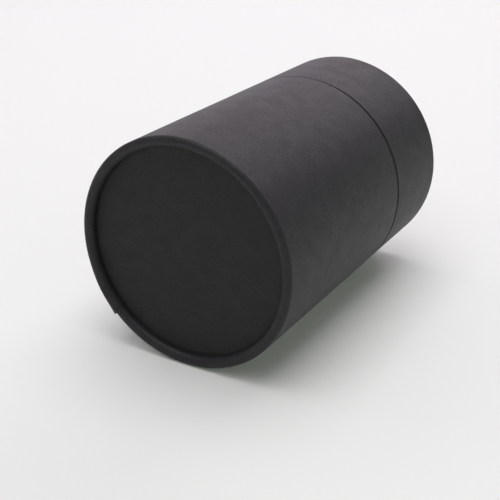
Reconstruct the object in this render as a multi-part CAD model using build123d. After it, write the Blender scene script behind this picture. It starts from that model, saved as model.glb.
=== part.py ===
"""Card tube for a candle, lying on its side: a long base, a push-on lid and the neck between them.

Both halves are wound board with a paper wrap, and their closed ends are rolled inwards over a disc.
The row lies along Y on the plane z = 0, with the base's closed end towards -Y.
Each half is drawn as (radius, depth), where depth is measured inwards from its own closed end.
"""
import math
import os

from build123d import *

# Outside sizes, in millimetres.
outer_diameter = 80.0
base_length = 82.9
lid_length = 36.5
joint_gap = 0.6

# Papers and boards.
wrap_ply = 0.25
facing_ply = 0.25
liner_ply = 0.15
lid_board = 1.2
neck_board = 1.0
disc_board = 1.8

# Fits: the lid slides on the neck, the neck stops short of the lid's disc, and a curl keeps a slot.
slide_gap = 0.25
neck_headroom = 6.2
curl_slot = 0.1

# Rolled ends: a flat pressed on the crest, the crease's height, the lip's roll and its straight leg.
crest_flat = 0.2
crease_height = 1.1
lip_roll = 2.0
curl_leg = 1.0

# Cut edges and the glued overlap of the wrap, with angles up from the floor line towards -X.
edge_ease = 0.12
neck_ease = 0.2
seam_lift = 0.5
seam_middle_lift = 0.17
seam_arc = 29.0
base_seam_angle = 45.5
lid_seam_angle = 100.0

# Values that follow from those above.
outer_radius = outer_diameter / 2
overall_length = base_length + joint_gap + lid_length
lid_bore = outer_radius - wrap_ply - lid_board - liner_ply
neck_radius = lid_bore - slide_gap
base_board = outer_radius - wrap_ply - neck_radius
bead_width = 2 * (wrap_ply + base_board) + curl_slot
lip_radius = outer_radius - bead_width
shoulder_width = bead_width - crest_flat - lip_roll
shoulder_radius = (shoulder_width**2 + crease_height**2) / (2 * crease_height)
recess_depth = bead_width / 2 + curl_leg
floor_depth = recess_depth + facing_ply + disc_board + liner_ply
neck_top = base_length + joint_gap + lid_length - floor_depth - neck_headroom


def revolved(edges):
    """Solid of revolution from a closed outline drawn as (radius, depth)."""
    return revolve(make_face(edges), axis=Axis.Y)


def turned(*points):
    """Solid of revolution from straight-sided corners drawn as (radius, depth)."""
    return revolved(Polyline(*points, close=True).edges())


def on_base(solid):
    """Place a turned piece with its depth running from the base's closed end."""
    return Pos(0, -overall_length / 2, outer_radius) * solid


def on_lid(solid):
    """Place a turned piece with its depth running back from the lid's closed end."""
    return Pos(0, overall_length / 2, outer_radius) * Rot(0, 0, 180) * solid


def rolled_end(under, wall_end):
    """Edges of the rolled surface lying a thickness under the skin, from wall_end round to the leg."""
    arc_radius = shoulder_radius - under
    sweep = math.asin((shoulder_width - under) / arc_radius)
    wall_start = (outer_radius - under, shoulder_radius - arc_radius * math.cos(sweep))
    shoulder_centre = (outer_radius - shoulder_width, shoulder_radius)
    lip_centre = (lip_radius + lip_roll, lip_roll)
    return [
        Line(wall_end, wall_start),
        CenterArc(shoulder_centre, arc_radius, -90, math.degrees(sweep)),
        Line((outer_radius - shoulder_width, under), (lip_radius + lip_roll, under)),
        CenterArc(lip_centre, lip_roll - under, 180, 90),
        Line((lip_radius + under, lip_roll), (lip_radius + under, recess_depth)),
    ]


def board_tube(length, board):
    """Wound board tube whose closed end is rolled in, with its edge turned down on to the disc."""
    inner = wrap_ply + board
    outside = rolled_end(wrap_ply, (outer_radius - wrap_ply, length))
    inside = Polyline(
        (lip_radius + wrap_ply, recess_depth),
        (lip_radius + inner, recess_depth),
        (lip_radius + inner, inner),
        (outer_radius - inner, inner),
        (outer_radius - inner, length),
        (outer_radius - wrap_ply, length),
    )
    return revolved(outside + inside.edges())


def wrap_tube(length):
    """Paper wrap over the wall and round the rolled end, with its cut edge eased."""
    outside = rolled_end(0, (outer_radius, length - edge_ease))
    inside = rolled_end(wrap_ply, (outer_radius - wrap_ply, length))
    leg_end = Line((lip_radius, recess_depth), (lip_radius + wrap_ply, recess_depth))
    cut_edge = Polyline(
        (outer_radius, length - edge_ease),
        (outer_radius - edge_ease, length),
        (outer_radius - wrap_ply, length),
    )
    return revolved(outside + [leg_end] + inside + cut_edge.edges())


def seam_point(radius, angle):
    """Point of a cross-section, with the angle measured up from the floor line towards -X."""
    turn = math.radians(angle)
    return (-radius * math.sin(turn), -radius * math.cos(turn))


def seam_overlap(start_y, end_y, edge_angle):
    """Overlapped end of the wrap, proudest along its free edge and dying into the wall above."""
    rise = edge_angle + seam_arc
    middle = edge_angle + seam_arc / 2
    rooted = outer_radius - wrap_ply / 2
    edge_top = seam_point(outer_radius + seam_lift, edge_angle)
    edge_foot = seam_point(rooted, edge_angle)
    far_top = seam_point(outer_radius, rise)
    far_foot = seam_point(rooted, rise)
    outline = [
        Line(edge_foot, edge_top),
        ThreePointArc(edge_top, seam_point(outer_radius + seam_middle_lift, middle), far_top),
        Line(far_top, far_foot),
        ThreePointArc(far_foot, seam_point(rooted, middle), edge_foot),
    ]
    section = Plane(origin=(0, start_y, outer_radius), x_dir=(1, 0, 0), z_dir=(0, -1, 0))
    return extrude(section * make_face(outline), amount=start_y - end_y)


def wrap_with_seam(wrap, start_y, end_y, edge_angle):
    """Wrap and its overlap as one piece of paper."""
    return (wrap + seam_overlap(start_y, end_y, edge_angle)).solid()


def base_wrap():
    """Black paper round the base, stopping at the joint."""
    closed_end = -overall_length / 2
    start = closed_end + crease_height
    end = closed_end + base_length - edge_ease
    return wrap_with_seam(on_base(wrap_tube(base_length)), start, end, base_seam_angle)


def lid_wrap():
    """Black paper round the lid, stopping at the joint."""
    closed_end = overall_length / 2
    start = closed_end - lid_length + edge_ease
    end = closed_end - crease_height
    return wrap_with_seam(on_lid(wrap_tube(lid_length)), start, end, lid_seam_angle)


def disc(radius, depth, thickness):
    """Round of board or paper lying across the tube at a depth."""
    return turned((0, depth), (radius, depth), (radius, depth + thickness), (0, depth + thickness))


def sleeve(inner, outer, start, end):
    """Plain tube between two depths."""
    return turned((inner, start), (outer, start), (outer, end), (inner, end))


def end_closure(radius):
    """Facing, board and liner of a closed end, from the outside in."""
    board_depth = recess_depth + facing_ply
    liner_depth = board_depth + disc_board
    return {
        "disc_facing": disc(radius, recess_depth, facing_ply),
        "disc": disc(radius, board_depth, disc_board),
        "disc_liner": disc(radius, liner_depth, liner_ply),
    }


def neck_cover():
    """Black paper round the neck, eased at the top so that the lid starts easily."""
    inner = neck_radius - wrap_ply
    return turned(
        (inner, floor_depth),
        (neck_radius, floor_depth),
        (neck_radius, neck_top - neck_ease),
        (neck_radius - neck_ease, neck_top),
        (inner, neck_top),
    )


def model():
    """Every sub-part by name, in its place."""
    neck_wall = neck_radius - wrap_ply
    neck_bore = neck_wall - neck_board
    lid_wall = outer_radius - wrap_ply - lid_board
    parts = {
        "base_tube": on_base(board_tube(base_length, base_board)),
        "base_wrap": base_wrap(),
        "neck_tube": on_base(sleeve(neck_bore, neck_wall, floor_depth, neck_top)),
        "neck_cover": on_base(neck_cover()),
        "neck_liner": on_base(sleeve(neck_bore - liner_ply, neck_bore, floor_depth, neck_top)),
        "lid_tube": on_lid(board_tube(lid_length, lid_board)),
        "lid_wrap": lid_wrap(),
        "lid_liner": on_lid(sleeve(lid_bore, lid_wall, floor_depth, lid_length)),
    }
    for name, piece in end_closure(neck_radius).items():
        parts["base_" + name] = on_base(piece)
    for name, piece in end_closure(lid_wall).items():
        parts["lid_" + name] = on_lid(piece)
    return parts


os.makedirs("parts", exist_ok=True)
for node, solid in model().items():
    export_step(solid, f"parts/{node}.step")
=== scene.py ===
"""Black card candle tube lying on its side: paper wraps, rolled rims, recessed discs and the lid's neck."""
import math

import bmesh
import bpy
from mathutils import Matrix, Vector, noise


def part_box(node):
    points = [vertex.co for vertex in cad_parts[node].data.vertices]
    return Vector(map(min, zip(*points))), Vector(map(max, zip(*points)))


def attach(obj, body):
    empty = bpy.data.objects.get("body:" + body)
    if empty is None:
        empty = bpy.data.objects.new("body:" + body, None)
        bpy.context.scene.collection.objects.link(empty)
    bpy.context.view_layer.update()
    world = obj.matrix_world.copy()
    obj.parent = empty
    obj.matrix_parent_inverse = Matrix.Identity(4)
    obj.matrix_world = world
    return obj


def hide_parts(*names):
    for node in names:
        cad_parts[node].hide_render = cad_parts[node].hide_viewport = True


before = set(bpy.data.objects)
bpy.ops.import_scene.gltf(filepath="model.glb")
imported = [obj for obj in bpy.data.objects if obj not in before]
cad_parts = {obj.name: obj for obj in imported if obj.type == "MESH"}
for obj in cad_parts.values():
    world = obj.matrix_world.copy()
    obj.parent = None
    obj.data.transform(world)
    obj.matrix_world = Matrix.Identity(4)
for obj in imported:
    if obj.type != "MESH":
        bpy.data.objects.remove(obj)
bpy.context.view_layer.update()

MM = 0.001
FULL_TURN = 2 * math.pi

# ---------------------------------------------------------------------------------------------------
# Sizes: the frame gives the diameters, lengths and depths, and these are details inside its boxes.
# ---------------------------------------------------------------------------------------------------
BEAD_WIDTH = 3.8 * MM          # rolled rim, from the wall to the lip of the recess
CREST_FLAT = 0.2 * MM          # flat that the forming die leaves on the crest
CREASE_HEIGHT = 1.1 * MM       # where the wall turns into the roll
LIP_ROLL = 2.0 * MM            # radius of the roll on the recess's side
EDGE_EASE = 0.2 * MM           # rounding of a cut paper edge
LINER_PLY = 0.15 * MM          # thickness of the lining paper
SEAM_GAP = 0.35 * MM           # gap where the ends of a butted paper meet
BEVEL = 0.7                    # each part of the sloping normal on an eased edge
SHARP = math.radians(40)       # edges that turn by more than this stay crisp


def span(node):
    """A node's outside radius, and its two ends along the tube."""
    low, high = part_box(node)
    return (high.x - low.x) / 2, low.y, high.y


TUBE_RADIUS, BASE_END, BASE_JOINT = span("base_wrap")
LID_JOINT, LID_END = span("lid_wrap")[1:]
WRAP_PLY = TUBE_RADIUS - span("base_tube")[0]
AXIS_HEIGHT = TUBE_RADIUS
LIP_RADIUS = TUBE_RADIUS - BEAD_WIDTH
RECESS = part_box("base_disc_facing")[0].y - BASE_END
NECK_RADIUS, NECK_FOOT, NECK_TOP = span("neck_cover")
NECK_PLY = NECK_RADIUS - span("neck_tube")[0]
NECK_BORE = span("neck_liner")[0] - LINER_PLY

# Glued overlap of a wrap. Angles are up from the floor line towards -X.
BASE_SEAM = math.radians(45.0)     # free edge of the base's wrap
LID_SEAM = math.radians(100.0)     # free edge of the lid's wrap
OVERLAP = math.radians(12.0)       # width of the glued overlap
OVERLAP_FADE = math.radians(17.0)  # arc over which the upper ply comes back down to the board
TUCK_ARC = math.radians(45.0)      # arc over which the covered end beds into the board
TUCK_DEPTH = 0.1 * MM              # how far it beds in
FLICK_ARC = math.radians(4.0)      # arc over which a lifted free edge dies away
FLICK_REACH = 14.0 * MM            # distance from the rim over which its extra lift dies away
WAVER_ARC = 0.3                    # arc past the free edge, in radians, where unevenness starts
LIP_OVERLAP = 0.4                  # share of the overlap left where the roll presses it down
LIP_FLICK = 0.15                   # share of the free edge's lift left there

COVER_SEAM = 0.6                   # butted seams of the neck's and lid's sleeves, in radians
NECK_LINING_SEAM = 2.0
LID_LINING_SEAM = 3.0

# Wander of the cut edges at the joint. Arcs are measured past the top, towards +X.
TRIM_CLOSED = 0.12 * MM            # how far a wrap runs into the joint's gap where it is tightest
TRIM_OPEN = 0.2 * MM               # how far it falls short where the gap is widest
TRIM_RISE = math.radians(36.0)     # arc over which the gap opens
TRIM_HOLD = math.radians(108.0)    # where it starts to close again
TRIM_FALL = math.radians(72.0)     # arc over which it closes
TRIM_FADE = 6.0 * MM               # distance from the cut edge over which the wander dies away

# Unevenness of a wound wall and of a pressed disc: how high, and how long from wave to wave.
WALL_WAVER = (0.06 * MM, 26 * MM)
DISC_WAVER = (0.05 * MM, 15 * MM)
DISC_DISH = 0.1 * MM               # how far a disc's middle is sunk

# Paler colour along the edges, from 0 for none to 1 for a bare edge: rubbing at the cut edges and the
# crest, and a painted highlight along the crease.
CUT_RUB = (0.1, 0.2)               # a wrap's cut edge, and the wall beside it
# Painted highlight along the crease, where the wall turns into the roll.
CREASE_HIGHLIGHT = 0.4
CREASE_HIGHLIGHT_FADE = 1 / 3            # loss for each millimetre up the wall
CREST_RUB = 0.1
SLEEVE_RUB = (0.6, 1.0)            # the wall beside a sleeve's cut edge, and that edge

# How finely the papers are divided.
WALL_ROW = 1.8 * MM
CREASE_ROWS = (0.9, 0.5, 0.2, 0.05)    # millimetres above the crease, where the painted highlight needs more rows
ARC_ROWS = 12
SLEEVE_ROWS = 40
OVERLAP_STEPS = 40
ROUND_STEPS = 330
DISC_STEPS = 180
DISC_RINGS = (0.004, 0.06, 0.13, 0.2, 0.28, 0.36, 0.44, 0.52, 0.6, 0.68, 0.76, 0.83, 0.89, 0.93)
LIP_RINGS = (-0.5 * MM, 0.1 * MM)      # rings just inside and just under the lip
FLOOR_STEPS = 96


# ---------------------------------------------------------------------------------------------------
# Mesh code
# ---------------------------------------------------------------------------------------------------
def smooth(value):
    """Ease from 0 to 1."""
    value = min(1.0, max(0.0, value))
    return value * value * (3 - 2 * value)


def spread(start, end, steps):
    """Evenly spaced values from start up to, but not including, end."""
    return [start + (end - start) * i / steps for i in range(steps)]


def place_round(radius, angle, y):
    """Point on the tube, with the angle measured up from the floor line towards -X."""
    return (-radius * math.sin(angle), y, AXIS_HEIGHT - radius * math.cos(angle))


def new_piece(name, grid, body, material, stands_for):
    """Mesh object from (points, faces, paper coordinates, rub and painted highlight), riding on a body."""
    points, faces, paper, rub_and_highlight = grid
    mesh = bpy.data.meshes.new(name)
    mesh.from_pydata(points, [], faces)
    shape = bmesh.new()
    shape.from_mesh(mesh)
    bmesh.ops.recalc_face_normals(shape, faces=shape.faces)
    shape.to_mesh(mesh)
    shape.free()
    layer = mesh.uv_layers.new(name="paper")
    for loop in mesh.loops:
        layer.data[loop.index].uv = paper[loop.vertex_index]
    # Paler colour at each point: rubbing at the cut edges, and a painted highlight along the crease.
    wear = mesh.attributes.new("rub_and_highlight", "FLOAT", "POINT")
    wear.data.foreach_set("value", rub_and_highlight)
    mesh.shade_smooth()
    mesh.set_sharp_from_angle(angle=SHARP)
    mesh.materials.append(material)
    piece = bpy.data.objects.new(name, mesh)
    bpy.context.scene.collection.objects.link(piece)
    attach(piece, body)
    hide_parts(stands_for)


def rolled_profile(length):
    """Outer skin of a rolled tube from its cut edge to the disc: (radius, depth, normal, rub and painted
    highlight).
    """
    width = BEAD_WIDTH - CREST_FLAT - LIP_ROLL
    radius = (width**2 + CREASE_HEIGHT**2) / (2 * CREASE_HEIGHT)
    sweep = math.asin(width / radius)
    wall = length - EDGE_EASE - CREASE_HEIGHT
    rows = [(TUBE_RADIUS - EDGE_EASE, length, (BEVEL, BEVEL), CUT_RUB[0])]
    rows.append((TUBE_RADIUS, length - EDGE_EASE, (1, 0), CUT_RUB[1]))
    for share in spread(1, 0, round(wall / WALL_ROW))[1:]:
        rows.append((TUBE_RADIUS, CREASE_HEIGHT + wall * share, (1, 0), 0.0))
    # Painted highlight along the crease, fading up the wall.
    for rise in CREASE_ROWS:
        rub_and_highlight = CREASE_HIGHLIGHT - rise * CREASE_HIGHLIGHT_FADE
        rows.append((TUBE_RADIUS, CREASE_HEIGHT + rise * MM, (1, 0), rub_and_highlight))
    # Round the roll, the crease's painted highlight fades into the crest's rubbing.
    for angle in spread(sweep, 0, ARC_ROWS):
        normal = (math.sin(angle), -math.cos(angle))
        point = (TUBE_RADIUS - width + radius * normal[0], radius + radius * normal[1])
        rows.append((*point, normal, CREST_RUB + (CREASE_HIGHLIGHT - CREST_RUB) * smooth(angle / sweep)))
    for angle in spread(0, math.pi / 2, ARC_ROWS):
        normal = (-math.sin(angle), -math.cos(angle))
        point = (LIP_RADIUS + LIP_ROLL * (1 + normal[0]), LIP_ROLL * (1 + normal[1]))
        rows.append((*point, normal, CREST_RUB))
    rows.append((LIP_RADIUS, LIP_ROLL, (-1, 0), 0.0))
    rows.append((LIP_RADIUS, RECESS, (-1, 0), 0.0))
    return rows


def straight_profile(radius, length, side=1):
    """Skin of a plain sleeve that faces outwards, or inwards if side is -1, with its far edge eased."""
    rows = [(radius, y, (side, 0), 0.0) for y in spread(0, length - EDGE_EASE, SLEEVE_ROWS)]
    rows.append((radius, length - EDGE_EASE, (side, 0), SLEEVE_RUB[0]))
    rows.append((radius - side * EDGE_EASE, length, (side * BEVEL, BEVEL), SLEEVE_RUB[1]))
    return rows


def turn_steps(total):
    """Angles from a free edge round to the other end, closest together by the edge."""
    return spread(0, OVERLAP, OVERLAP_STEPS) + spread(OVERLAP, total, ROUND_STEPS) + [total]


def wound_sheet(profile, turns, lift, thickness, seam, end, direction, trim=None):
    """Closed mesh of a sheet wound round the tube: an outer skin, an inner skin and four edges.

    lift(turn, radius, depth) raises the sheet; the seam is where its free edge lies; depths run
    from end in a direction along the tube; trim(angle) shortens the sheet at its cut edge.
    """
    length = profile[0][1]
    run = [0.0]
    for a, b in zip(profile, profile[1:]):
        run.append(run[-1] + math.hypot(b[0] - a[0], b[1] - a[1]))
    points = []
    paper = []
    rub_and_highlight = []
    for under in (0.0, thickness):
        for turn in turns:
            for (radius, depth, normal, wear_and_highlight), along in zip(profile, run):
                rise = lift(turn, radius, depth) - under
                cut = trim(seam + turn) * smooth(1 - (length - depth) / TRIM_FADE) if trim else 0.0
                y = end + direction * (depth - cut + normal[1] * rise)
                points.append(place_round(radius + normal[0] * rise, seam + turn, y))
                paper.append((TUBE_RADIUS * turn, along))
                rub_and_highlight.append(wear_and_highlight)
    rows = len(profile)
    count = len(turns)
    back = rows * count
    faces = []
    for i in range(count - 1):
        for k in range(rows - 1):
            a = i * rows + k
            faces.append((a, a + 1, a + rows + 1, a + rows))
            faces.append((back + a, back + a + rows, back + a + rows + 1, back + a + 1))
        for k in (0, rows - 1):
            a = i * rows + k
            faces.append((a, a + rows, back + a + rows, back + a))
    for i in (0, count - 1):
        for k in range(rows - 1):
            a = i * rows + k
            faces.append((a, back + a, back + a + 1, a + 1))
    return points, faces, paper, rub_and_highlight


def waver(angle, depth, size, wave):
    """Gentle unevenness of a wound wall or a pressed disc."""
    spot = Vector((math.sin(angle), math.cos(angle), 0)) * (TUBE_RADIUS / wave)
    return size * noise.noise(spot + Vector((0, 0, depth / wave)))


def overlap_lift(flick_at_rim, flick_elsewhere, shift):
    """Lift of a wrap: one ply up over its own overlap, with a free edge that has sprung a little.

    The shift along the tube gives each wrap its own unevenness.
    """

    def lift(turn, radius, depth):
        whole = waver(turn, depth + shift, *WALL_WAVER)
        remaining = FULL_TURN - turn
        if remaining < TUCK_ARC:
            return whole - TUCK_DEPTH * (1 - smooth(remaining / TUCK_ARC))
        over = WRAP_PLY * (1 - smooth((turn - OVERLAP) / OVERLAP_FADE))
        flick = flick_elsewhere + (flick_at_rim - flick_elsewhere) * math.exp(-depth / FLICK_REACH)
        if radius < TUBE_RADIUS - LIP_ROLL:
            over = over * LIP_OVERLAP
            flick = flick * LIP_FLICK
        return whole * smooth(turn / WAVER_ARC) + over + flick * math.exp(-turn / FLICK_ARC)

    return lift


def joint_trim(angle):
    """Wander of the cut edge at the joint: the gap is narrow on top and opens on the +X side."""
    past_top = angle % FULL_TURN - math.pi
    opened = smooth(past_top / TRIM_RISE) * (1 - smooth((past_top - TRIM_HOLD) / TRIM_FALL))
    return -TRIM_CLOSED + (TRIM_CLOSED + TRIM_OPEN) * opened


def flush_lift(turn, radius, depth):
    """Lift of a sheet whose ends only meet."""
    return 0.0


def pressed_disc(radius, front, direction, ply):
    """Closed round of paper pressed on to board, dished a little towards its middle."""
    rings = [radius * share for share in DISC_RINGS]
    rings += [LIP_RADIUS + step for step in LIP_RINGS] + [radius]
    around = spread(0, FULL_TURN, DISC_STEPS)
    points = []
    paper = []
    for under in (0.0, ply):
        for ring in rings:
            dish = DISC_DISH * (1 - smooth(ring / LIP_RADIUS))
            free = 1 - (ring / radius) ** 4
            for angle in around:
                sunk = dish + waver(angle, ring, *DISC_WAVER) * free
                x, y, z = place_round(ring, angle, front + direction * (sunk + under))
                points.append((x, y, z))
                paper.append((x, z))
    count = len(around)
    back = count * len(rings)
    faces = []
    for r in range(len(rings) - 1):
        for i in range(count):
            a = r * count + i
            b = r * count + (i + 1) % count
            faces.append((a, b, b + count, a + count))
            faces.append((back + a, back + a + count, back + b + count, back + b))
    rim = (len(rings) - 1) * count
    for i in range(count):
        j = (i + 1) % count
        faces.append((rim + i, rim + j, back + rim + j, back + rim + i))
    faces.append(tuple(range(count)))
    faces.append(tuple(back + i for i in reversed(range(count))))
    return points, faces, paper, [0.0] * len(points)


# ---------------------------------------------------------------------------------------------------
# Finishes
# ---------------------------------------------------------------------------------------------------
def colour(code):
    """Linear colour from an sRGB hex code."""
    parts = [int(code[i:i + 2], 16) / 255 for i in (0, 2, 4)]
    return [c / 12.92 if c <= 0.04045 else ((c + 0.055) / 1.055) ** 2.4 for c in parts] + [1.0]


def add(tree, kind, inputs=None, **settings):
    """Add a shader node, set its settings, and set or link its inputs."""
    made = tree.nodes.new("ShaderNode" + kind)
    for name, value in settings.items():
        setattr(made, name, value)
    for name, value in (inputs or {}).items():
        socket = made.inputs[name]
        if isinstance(value, bpy.types.NodeSocket):
            tree.links.new(value, socket)
        else:
            socket.default_value = value
    return made


def new_finish(name, specular):
    """Empty material, its node tree and its shader."""
    material = bpy.data.materials.new(name)
    material.use_nodes = True
    tree = material.node_tree
    shader = tree.nodes["Principled BSDF"]
    shader.inputs["Specular IOR Level"].default_value = specular
    return material, tree, shader


def blended(tree, factor, first, second):
    """Output colour of a mix."""
    mix = add(tree, "Mix", {0: factor, 6: first, 7: second}, data_type="RGBA")
    return mix.outputs[2]


def ranged(tree, value, low, high, to_low=0.0, to_high=1.0):
    """Output of a value stretched from one range to another."""
    inputs = {"Value": value, "From Min": low, "From Max": high, "To Min": to_low, "To Max": to_high}
    return add(tree, "MapRange", inputs).outputs["Result"]


CLOUD = 6.0 * MM               # flocks of pulp that clump as a sheet is formed
GRAIN = 0.75 * MM              # felt marks of the paper machine
TOOTH = 0.4 * MM               # roughness under the finger, four times a real one's so that it shows
FIBRE_LENGTH = 2.4 * MM        # a softwood fibre
FIBRE_WIDTH = 0.3 * MM         # ten times a real one's 0.03 mm, which is too fine to show
FIBRE_LEANS = (0.5, -0.7)      # two crossed directions, in radians
FIBRE_CUT = (0.56, 0.74)       # range of the noise that shows as fibres
FIBRE_SHADE = 0.3              # how far a fibre is tinted towards the paler colour of the rubbing and the painted highlight
FIBRE_RISE = 0.5               # a fibre's height beside the tooth's
CLOUD_WEIGHT = 0.6             # strength of the clouds beside the grain
FORMATION = (0.54, 1.06)       # range of the clouds and grain added up
RUB_AND_HIGHLIGHT_PATCHES = (0.35, 0.6)      # range of the grain that breaks up a rubbed edge and the crease's painted highlight


def paper_finish(name, deep, pale, rub_and_highlight_colour, specular, smoothest, dullest, relief):
    """Dyed paper: cloudy formation, short crossed fibres, a fine tooth, rubbed edges and a painted
    highlight along the crease.
    """
    material, tree, shader = new_finish(name, specular)
    spot = add(tree, "UVMap", uv_map="paper").outputs["UV"]
    clouds, grain, tooth = (
        add(tree, "TexNoise", {"Vector": spot, "Scale": 1 / size, "Detail": detail}).outputs["Fac"]
        for size, detail in ((CLOUD, 4.0), (GRAIN, 2.0), (TOOTH, 1.0))
    )
    strands = []
    for lean in FIBRE_LEANS:
        size = (1 / FIBRE_LENGTH, 1 / FIBRE_WIDTH, 1.0)
        laid = add(tree, "Mapping", {"Vector": spot, "Rotation": (0, 0, lean), "Scale": size})
        wavy = add(tree, "TexNoise", {"Vector": laid.outputs["Vector"], "Scale": 1.0, "Distortion": 0.8})
        strands.append(ranged(tree, wavy.outputs["Fac"], *FIBRE_CUT))
    fibre = add(tree, "Math", {0: strands[0], 1: strands[1]}, operation="MAXIMUM").outputs[0]
    formed = {0: clouds, 1: CLOUD_WEIGHT, 2: grain}
    formation = add(tree, "Math", formed, operation="MULTIPLY_ADD").outputs[0]
    # Rubbed edges and the crease's painted highlight, both in the paler colour.
    wear_and_highlight = add(tree, "Attribute", attribute_name="rub_and_highlight").outputs["Fac"]
    patchy = ranged(tree, grain, *RUB_AND_HIGHLIGHT_PATCHES)
    broken = add(tree, "Math", {0: wear_and_highlight, 1: patchy}, operation="MULTIPLY").outputs[0]
    base = blended(tree, ranged(tree, formation, *FORMATION), colour(deep), colour(pale))
    threaded = blended(tree, ranged(tree, fibre, 0.0, 1.0, 0.0, FIBRE_SHADE), base, colour(rub_and_highlight_colour))
    edged = blended(tree, broken, threaded, colour(rub_and_highlight_colour))
    tree.links.new(edged, shader.inputs["Base Color"])
    roughness = ranged(tree, formation, *FORMATION, dullest, smoothest)
    tree.links.new(roughness, shader.inputs["Roughness"])
    raised = {0: fibre, 1: FIBRE_RISE, 2: tooth}
    rise = add(tree, "Math", raised, operation="MULTIPLY_ADD").outputs[0]
    height = add(tree, "Math", {0: rise, 1: formation}, operation="ADD").outputs[0]
    bump = add(tree, "Bump", {"Strength": 1.0, "Distance": relief, "Height": height})
    tree.links.new(bump.outputs["Normal"], shader.inputs["Normal"])
    return material


BOARD_PLY = 0.4 * MM           # one ply of the board
GLUE_LINE = 0.08 * MM          # dark line of glue between two plies
GLUE_SHADE = 0.5               # how far it darkens the board
PULP = 1.2 * MM                # flecks of recycled pulp
PULP_CUT = (0.3, 0.7)          # range of the noise that shows as flecks
PULP_RELIEF = 0.1 * MM         # how far the flecks stand up


def chipboard_finish(name):
    """Dark grey-brown chipboard: flecked pulp, and plies that show as rings at a cut edge."""
    material, tree, shader = new_finish(name, 0.3)
    spot = add(tree, "TexCoord").outputs["Object"]
    centred = add(tree, "VectorMath", {0: spot, 1: (0, 0, -AXIS_HEIGHT)}, operation="ADD").outputs[0]
    flat = add(tree, "VectorMath", {0: centred, 1: (1, 0, 1)}, operation="MULTIPLY").outputs[0]
    away = add(tree, "VectorMath", {0: flat}, operation="LENGTH").outputs["Value"]
    ply = add(tree, "Math", {0: away, 1: BOARD_PLY}, operation="PINGPONG").outputs[0]
    joint = ranged(tree, ply, 0.0, GLUE_LINE, 1.0, 0.0)
    pulp = add(tree, "TexNoise", {"Vector": spot, "Scale": 1 / PULP, "Detail": 5.0}).outputs["Fac"]
    base = blended(tree, ranged(tree, pulp, *PULP_CUT), colour("2b2927"), colour("393634"))
    glued = add(tree, "Math", {0: joint, 1: GLUE_SHADE}, operation="MULTIPLY").outputs[0]
    tree.links.new(blended(tree, glued, base, colour("1d1b1a")), shader.inputs["Base Color"])
    shader.inputs["Roughness"].default_value = 0.9
    bump = add(tree, "Bump", {"Strength": 0.6, "Distance": PULP_RELIEF, "Height": pulp})
    tree.links.new(bump.outputs["Normal"], shader.inputs["Normal"])
    return material


# Uncoated kraft paper, dyed black: a broad soft highlight with a faint warm purple in the dye.
# Its third colour is for the rubbed edges and the painted highlight along the crease.
black_wrap = paper_finish(
    "black_kraft_paper", "151317", "232124", "302e31",
    specular=0.36, smoothest=0.48, dullest=0.60, relief=0.024 * MM)
# Facing paper pressed flat: neutral black, duller and evener than the wrap.
end_facing = paper_finish(
    "black_facing_paper", "171717", "202020", "292929",
    specular=0.33, smoothest=0.59, dullest=0.69, relief=0.009 * MM)
# Calendered paper on the neck, for a slippery fit: smoother, with a clearer highlight.
neck_paper = paper_finish(
    "black_neck_paper", "1b1b1c", "232324", "333334",
    specular=0.5, smoothest=0.42, dullest=0.55, relief=0.015 * MM)
# Thin lining paper: dull, and a little browner than the wrap.
lining_paper = paper_finish(
    "dark_lining_paper", "1d1c1b", "242322", "31302f",
    specular=0.4, smoothest=0.6, dullest=0.7, relief=0.02 * MM)
# Dyed chipboard, wound for the walls and pressed for the discs: rough, with the pulp's flecks.
wound_board = chipboard_finish("dark_wound_board")
pressed_board = chipboard_finish("dark_pressed_board")


# ---------------------------------------------------------------------------------------------------
# The tube
# ---------------------------------------------------------------------------------------------------
def make_wraps():
    """Black paper over each half, rolled in over its rim."""
    whole = turn_steps(FULL_TURN + OVERLAP)
    sprung = overlap_lift(flick_at_rim=0.45 * MM, flick_elsewhere=0.06 * MM, shift=0.0)
    base = wound_sheet(rolled_profile(BASE_JOINT - BASE_END), whole, sprung, WRAP_PLY,
                       BASE_SEAM, BASE_END, 1, joint_trim)
    new_piece("base_black_wrap", base, "base", black_wrap, "base_wrap")
    pressed = overlap_lift(flick_at_rim=0.12 * MM, flick_elsewhere=0.05 * MM, shift=0.3)
    lid = wound_sheet(rolled_profile(LID_END - LID_JOINT), whole, pressed, WRAP_PLY,
                      LID_SEAM, LID_END, -1, joint_trim)
    new_piece("lid_black_wrap", lid, "lid", black_wrap, "lid_wrap")


def make_end_faces():
    """Paper faces of the two recessed discs."""
    radius, front, back = span("base_disc_facing")
    base = pressed_disc(radius, front, 1, back - front)
    new_piece("base_end_facing", base, "base", end_facing, "base_disc_facing")
    radius, back, front = span("lid_disc_facing")
    lid = pressed_disc(radius, front, -1, front - back)
    new_piece("lid_end_facing", lid, "lid", end_facing, "lid_disc_facing")


def make_sleeves():
    """Papers on and inside the neck and inside the lid, each with a butted seam at its own angle."""
    butted = turn_steps(FULL_TURN - SEAM_GAP / NECK_RADIUS)
    neck_length = NECK_TOP - NECK_FOOT
    cover = wound_sheet(straight_profile(NECK_RADIUS, neck_length), butted, flush_lift, NECK_PLY,
                        COVER_SEAM, NECK_FOOT, 1)
    new_piece("neck_black_cover", cover, "base", neck_paper, "neck_cover")
    lining = wound_sheet(straight_profile(NECK_BORE, neck_length, -1), butted, flush_lift, LINER_PLY,
                         NECK_LINING_SEAM, NECK_FOOT, 1)
    new_piece("neck_bore_lining", lining, "base", lining_paper, "neck_liner")
    radius, start, end = span("lid_liner")
    lining = wound_sheet(straight_profile(radius - LINER_PLY, end - start, -1), butted, flush_lift,
                         LINER_PLY, LID_LINING_SEAM, end, -1)
    new_piece("lid_bore_lining", lining, "lid", lining_paper, "lid_liner")


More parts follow.
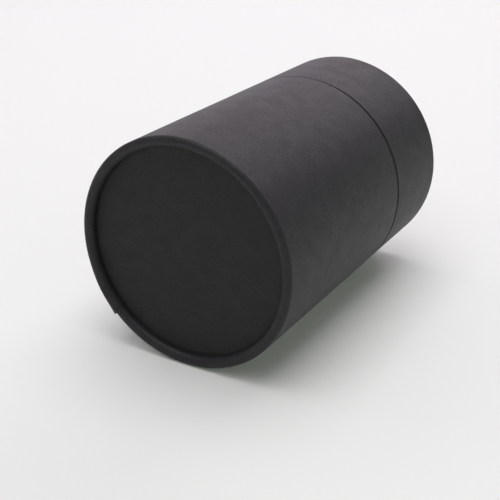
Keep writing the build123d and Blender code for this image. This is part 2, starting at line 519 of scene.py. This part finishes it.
def finish_boards():
    """Chipboard on the walls and discs, and lining paper on the discs' inner faces."""
    finishes = {
        wound_board: ("base_tube", "lid_tube", "neck_tube"),
        pressed_board: ("base_disc", "lid_disc"),
        lining_paper: ("base_disc_liner", "lid_disc_liner"),
    }
    for material, names in finishes.items():
        for name in names:
            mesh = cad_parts[name].data
            mesh.materials.clear()
            mesh.materials.append(material)


make_wraps()
make_end_faces()
make_sleeves()
finish_boards()


# ---------------------------------------------------------------------------------------------------
# Floor, light and camera, in metres, watts and degrees
# ---------------------------------------------------------------------------------------------------
FLOOR_RINGS = (0.4, 1.2, 2.6)  # radii of the rings in the floor's flat part
FLOOR_CURVE = 1.2              # radius of its curve up into a wall
CURVE_START = 0.13             # first angle of that curve, in radians
CURVE_STEPS = 12
WALL_TOP = 4.0
FLOOR_GLOW = 0.06              # lightens the contact shadows, which lamps alone leave too dark
ROOM_LIGHT = 0.02              # strength of the light from all round

CAMERA_SENSOR = 36.0           # millimetres
CAMERA_LENS = 70.94            # millimetres
CAMERA_PLACE = (0.1639, BASE_END - 0.2350, AXIS_HEIGHT + 0.1332)
CAMERA_DOWN = 24.57            # below level
CAMERA_LEFT = 30.45            # left of +Y

FLOOR_CENTRE = (0, 0, 0)
TUBE_CENTRE = (0, 0, AXIS_HEIGHT)
LAMPS = {
    # name: (place, aim, side, power, tint)
    "overhead": ((0, 0.2, 2.2), FLOOR_CENTRE, 2.0, 30, "ffffff"),
    "overhead_front": ((-0.15, -1.0, 2.2), FLOOR_CENTRE, 2.0, 17, "ffffff"),
    "left": ((-1.8, 0.2, 1.9), TUBE_CENTRE, 1.6, 6, "fff6ff"),
    "behind": ((0.13, 2.35, 1.32), TUBE_CENTRE, 1.6, 13.5, "fff4fc"),
    "behind_left": ((-1.2, 2.0, 0.9), TUBE_CENTRE, 1.6, 9, "ffefff"),
}


def make_floor():
    """Pale floor, curving up far away all round, with a faint even glow."""
    rings = [(radius, 0.0) for radius in FLOOR_RINGS]
    edge = FLOOR_RINGS[-1]
    for rise in spread(CURVE_START, math.pi / 2, CURVE_STEPS):
        rings.append((edge + FLOOR_CURVE * math.sin(rise), FLOOR_CURVE * (1 - math.cos(rise))))
    rings.append((edge + FLOOR_CURVE, WALL_TOP))
    around = spread(0, FULL_TURN, FLOOR_STEPS)
    points = [(r * math.cos(a), r * math.sin(a), z) for r, z in rings for a in around]
    points.append((0, 0, 0))
    count = len(around)
    faces = []
    for r in range(len(rings) - 1):
        for i in range(count):
            j = (i + 1) % count
            faces.append((r * count + i, (r + 1) * count + i, (r + 1) * count + j, r * count + j))
    faces += [(len(points) - 1, i, (i + 1) % count) for i in range(count)]
    mesh = bpy.data.meshes.new("pale_floor")
    mesh.from_pydata(points, [], faces)
    mesh.shade_smooth()
    material, _, shader = new_finish("white_card_floor", 0.2)
    shader.inputs["Base Color"].default_value = colour("e7e6e7")
    shader.inputs["Emission Color"].default_value = colour("ecffe6")
    shader.inputs["Emission Strength"].default_value = FLOOR_GLOW
    shader.inputs["Roughness"].default_value = 0.7
    mesh.materials.append(material)
    floor = bpy.data.objects.new("pale_floor", mesh)
    bpy.context.scene.collection.objects.link(floor)


def add_lamp(name, place, aim, side, power, tint):
    """Soft square lamp at a place, facing a point."""
    data = bpy.data.lights.new(name, "AREA")
    data.shape = "SQUARE"
    data.size = side
    data.energy = power
    data.color = colour(tint)[:3]
    lamp = bpy.data.objects.new(name, data)
    lamp.location = place
    lamp.rotation_euler = (Vector(aim) - Vector(place)).to_track_quat("-Z", "Y").to_euler()
    bpy.context.scene.collection.objects.link(lamp)


def add_camera():
    """Camera to the right of the base's end and above it, looking back along the tube."""
    data = bpy.data.cameras.new("camera")
    data.sensor_width = CAMERA_SENSOR
    data.lens = CAMERA_LENS
    camera = bpy.data.objects.new("camera", data)
    camera.location = CAMERA_PLACE
    camera.rotation_euler = (math.radians(90 - CAMERA_DOWN), 0, math.radians(CAMERA_LEFT))
    bpy.context.scene.collection.objects.link(camera)
    bpy.context.scene.camera = camera


def light_scene():
    """Two broad lamps overhead, one at the left and two behind, with a faint light from all round.

    The lamps behind and at the left are tinted a little, for the purple cast of the top's highlight.
    """
    world = bpy.data.worlds.new("pale_room")
    bpy.context.scene.world = world
    world.use_nodes = True
    background = world.node_tree.nodes["Background"]
    background.inputs["Color"].default_value = colour("f4f6f8")
    background.inputs["Strength"].default_value = ROOM_LIGHT
    for name, settings in LAMPS.items():
        add_lamp(name, *settings)
    bpy.context.scene.view_settings.view_transform = "Standard"


make_floor()
light_scene()
add_camera()
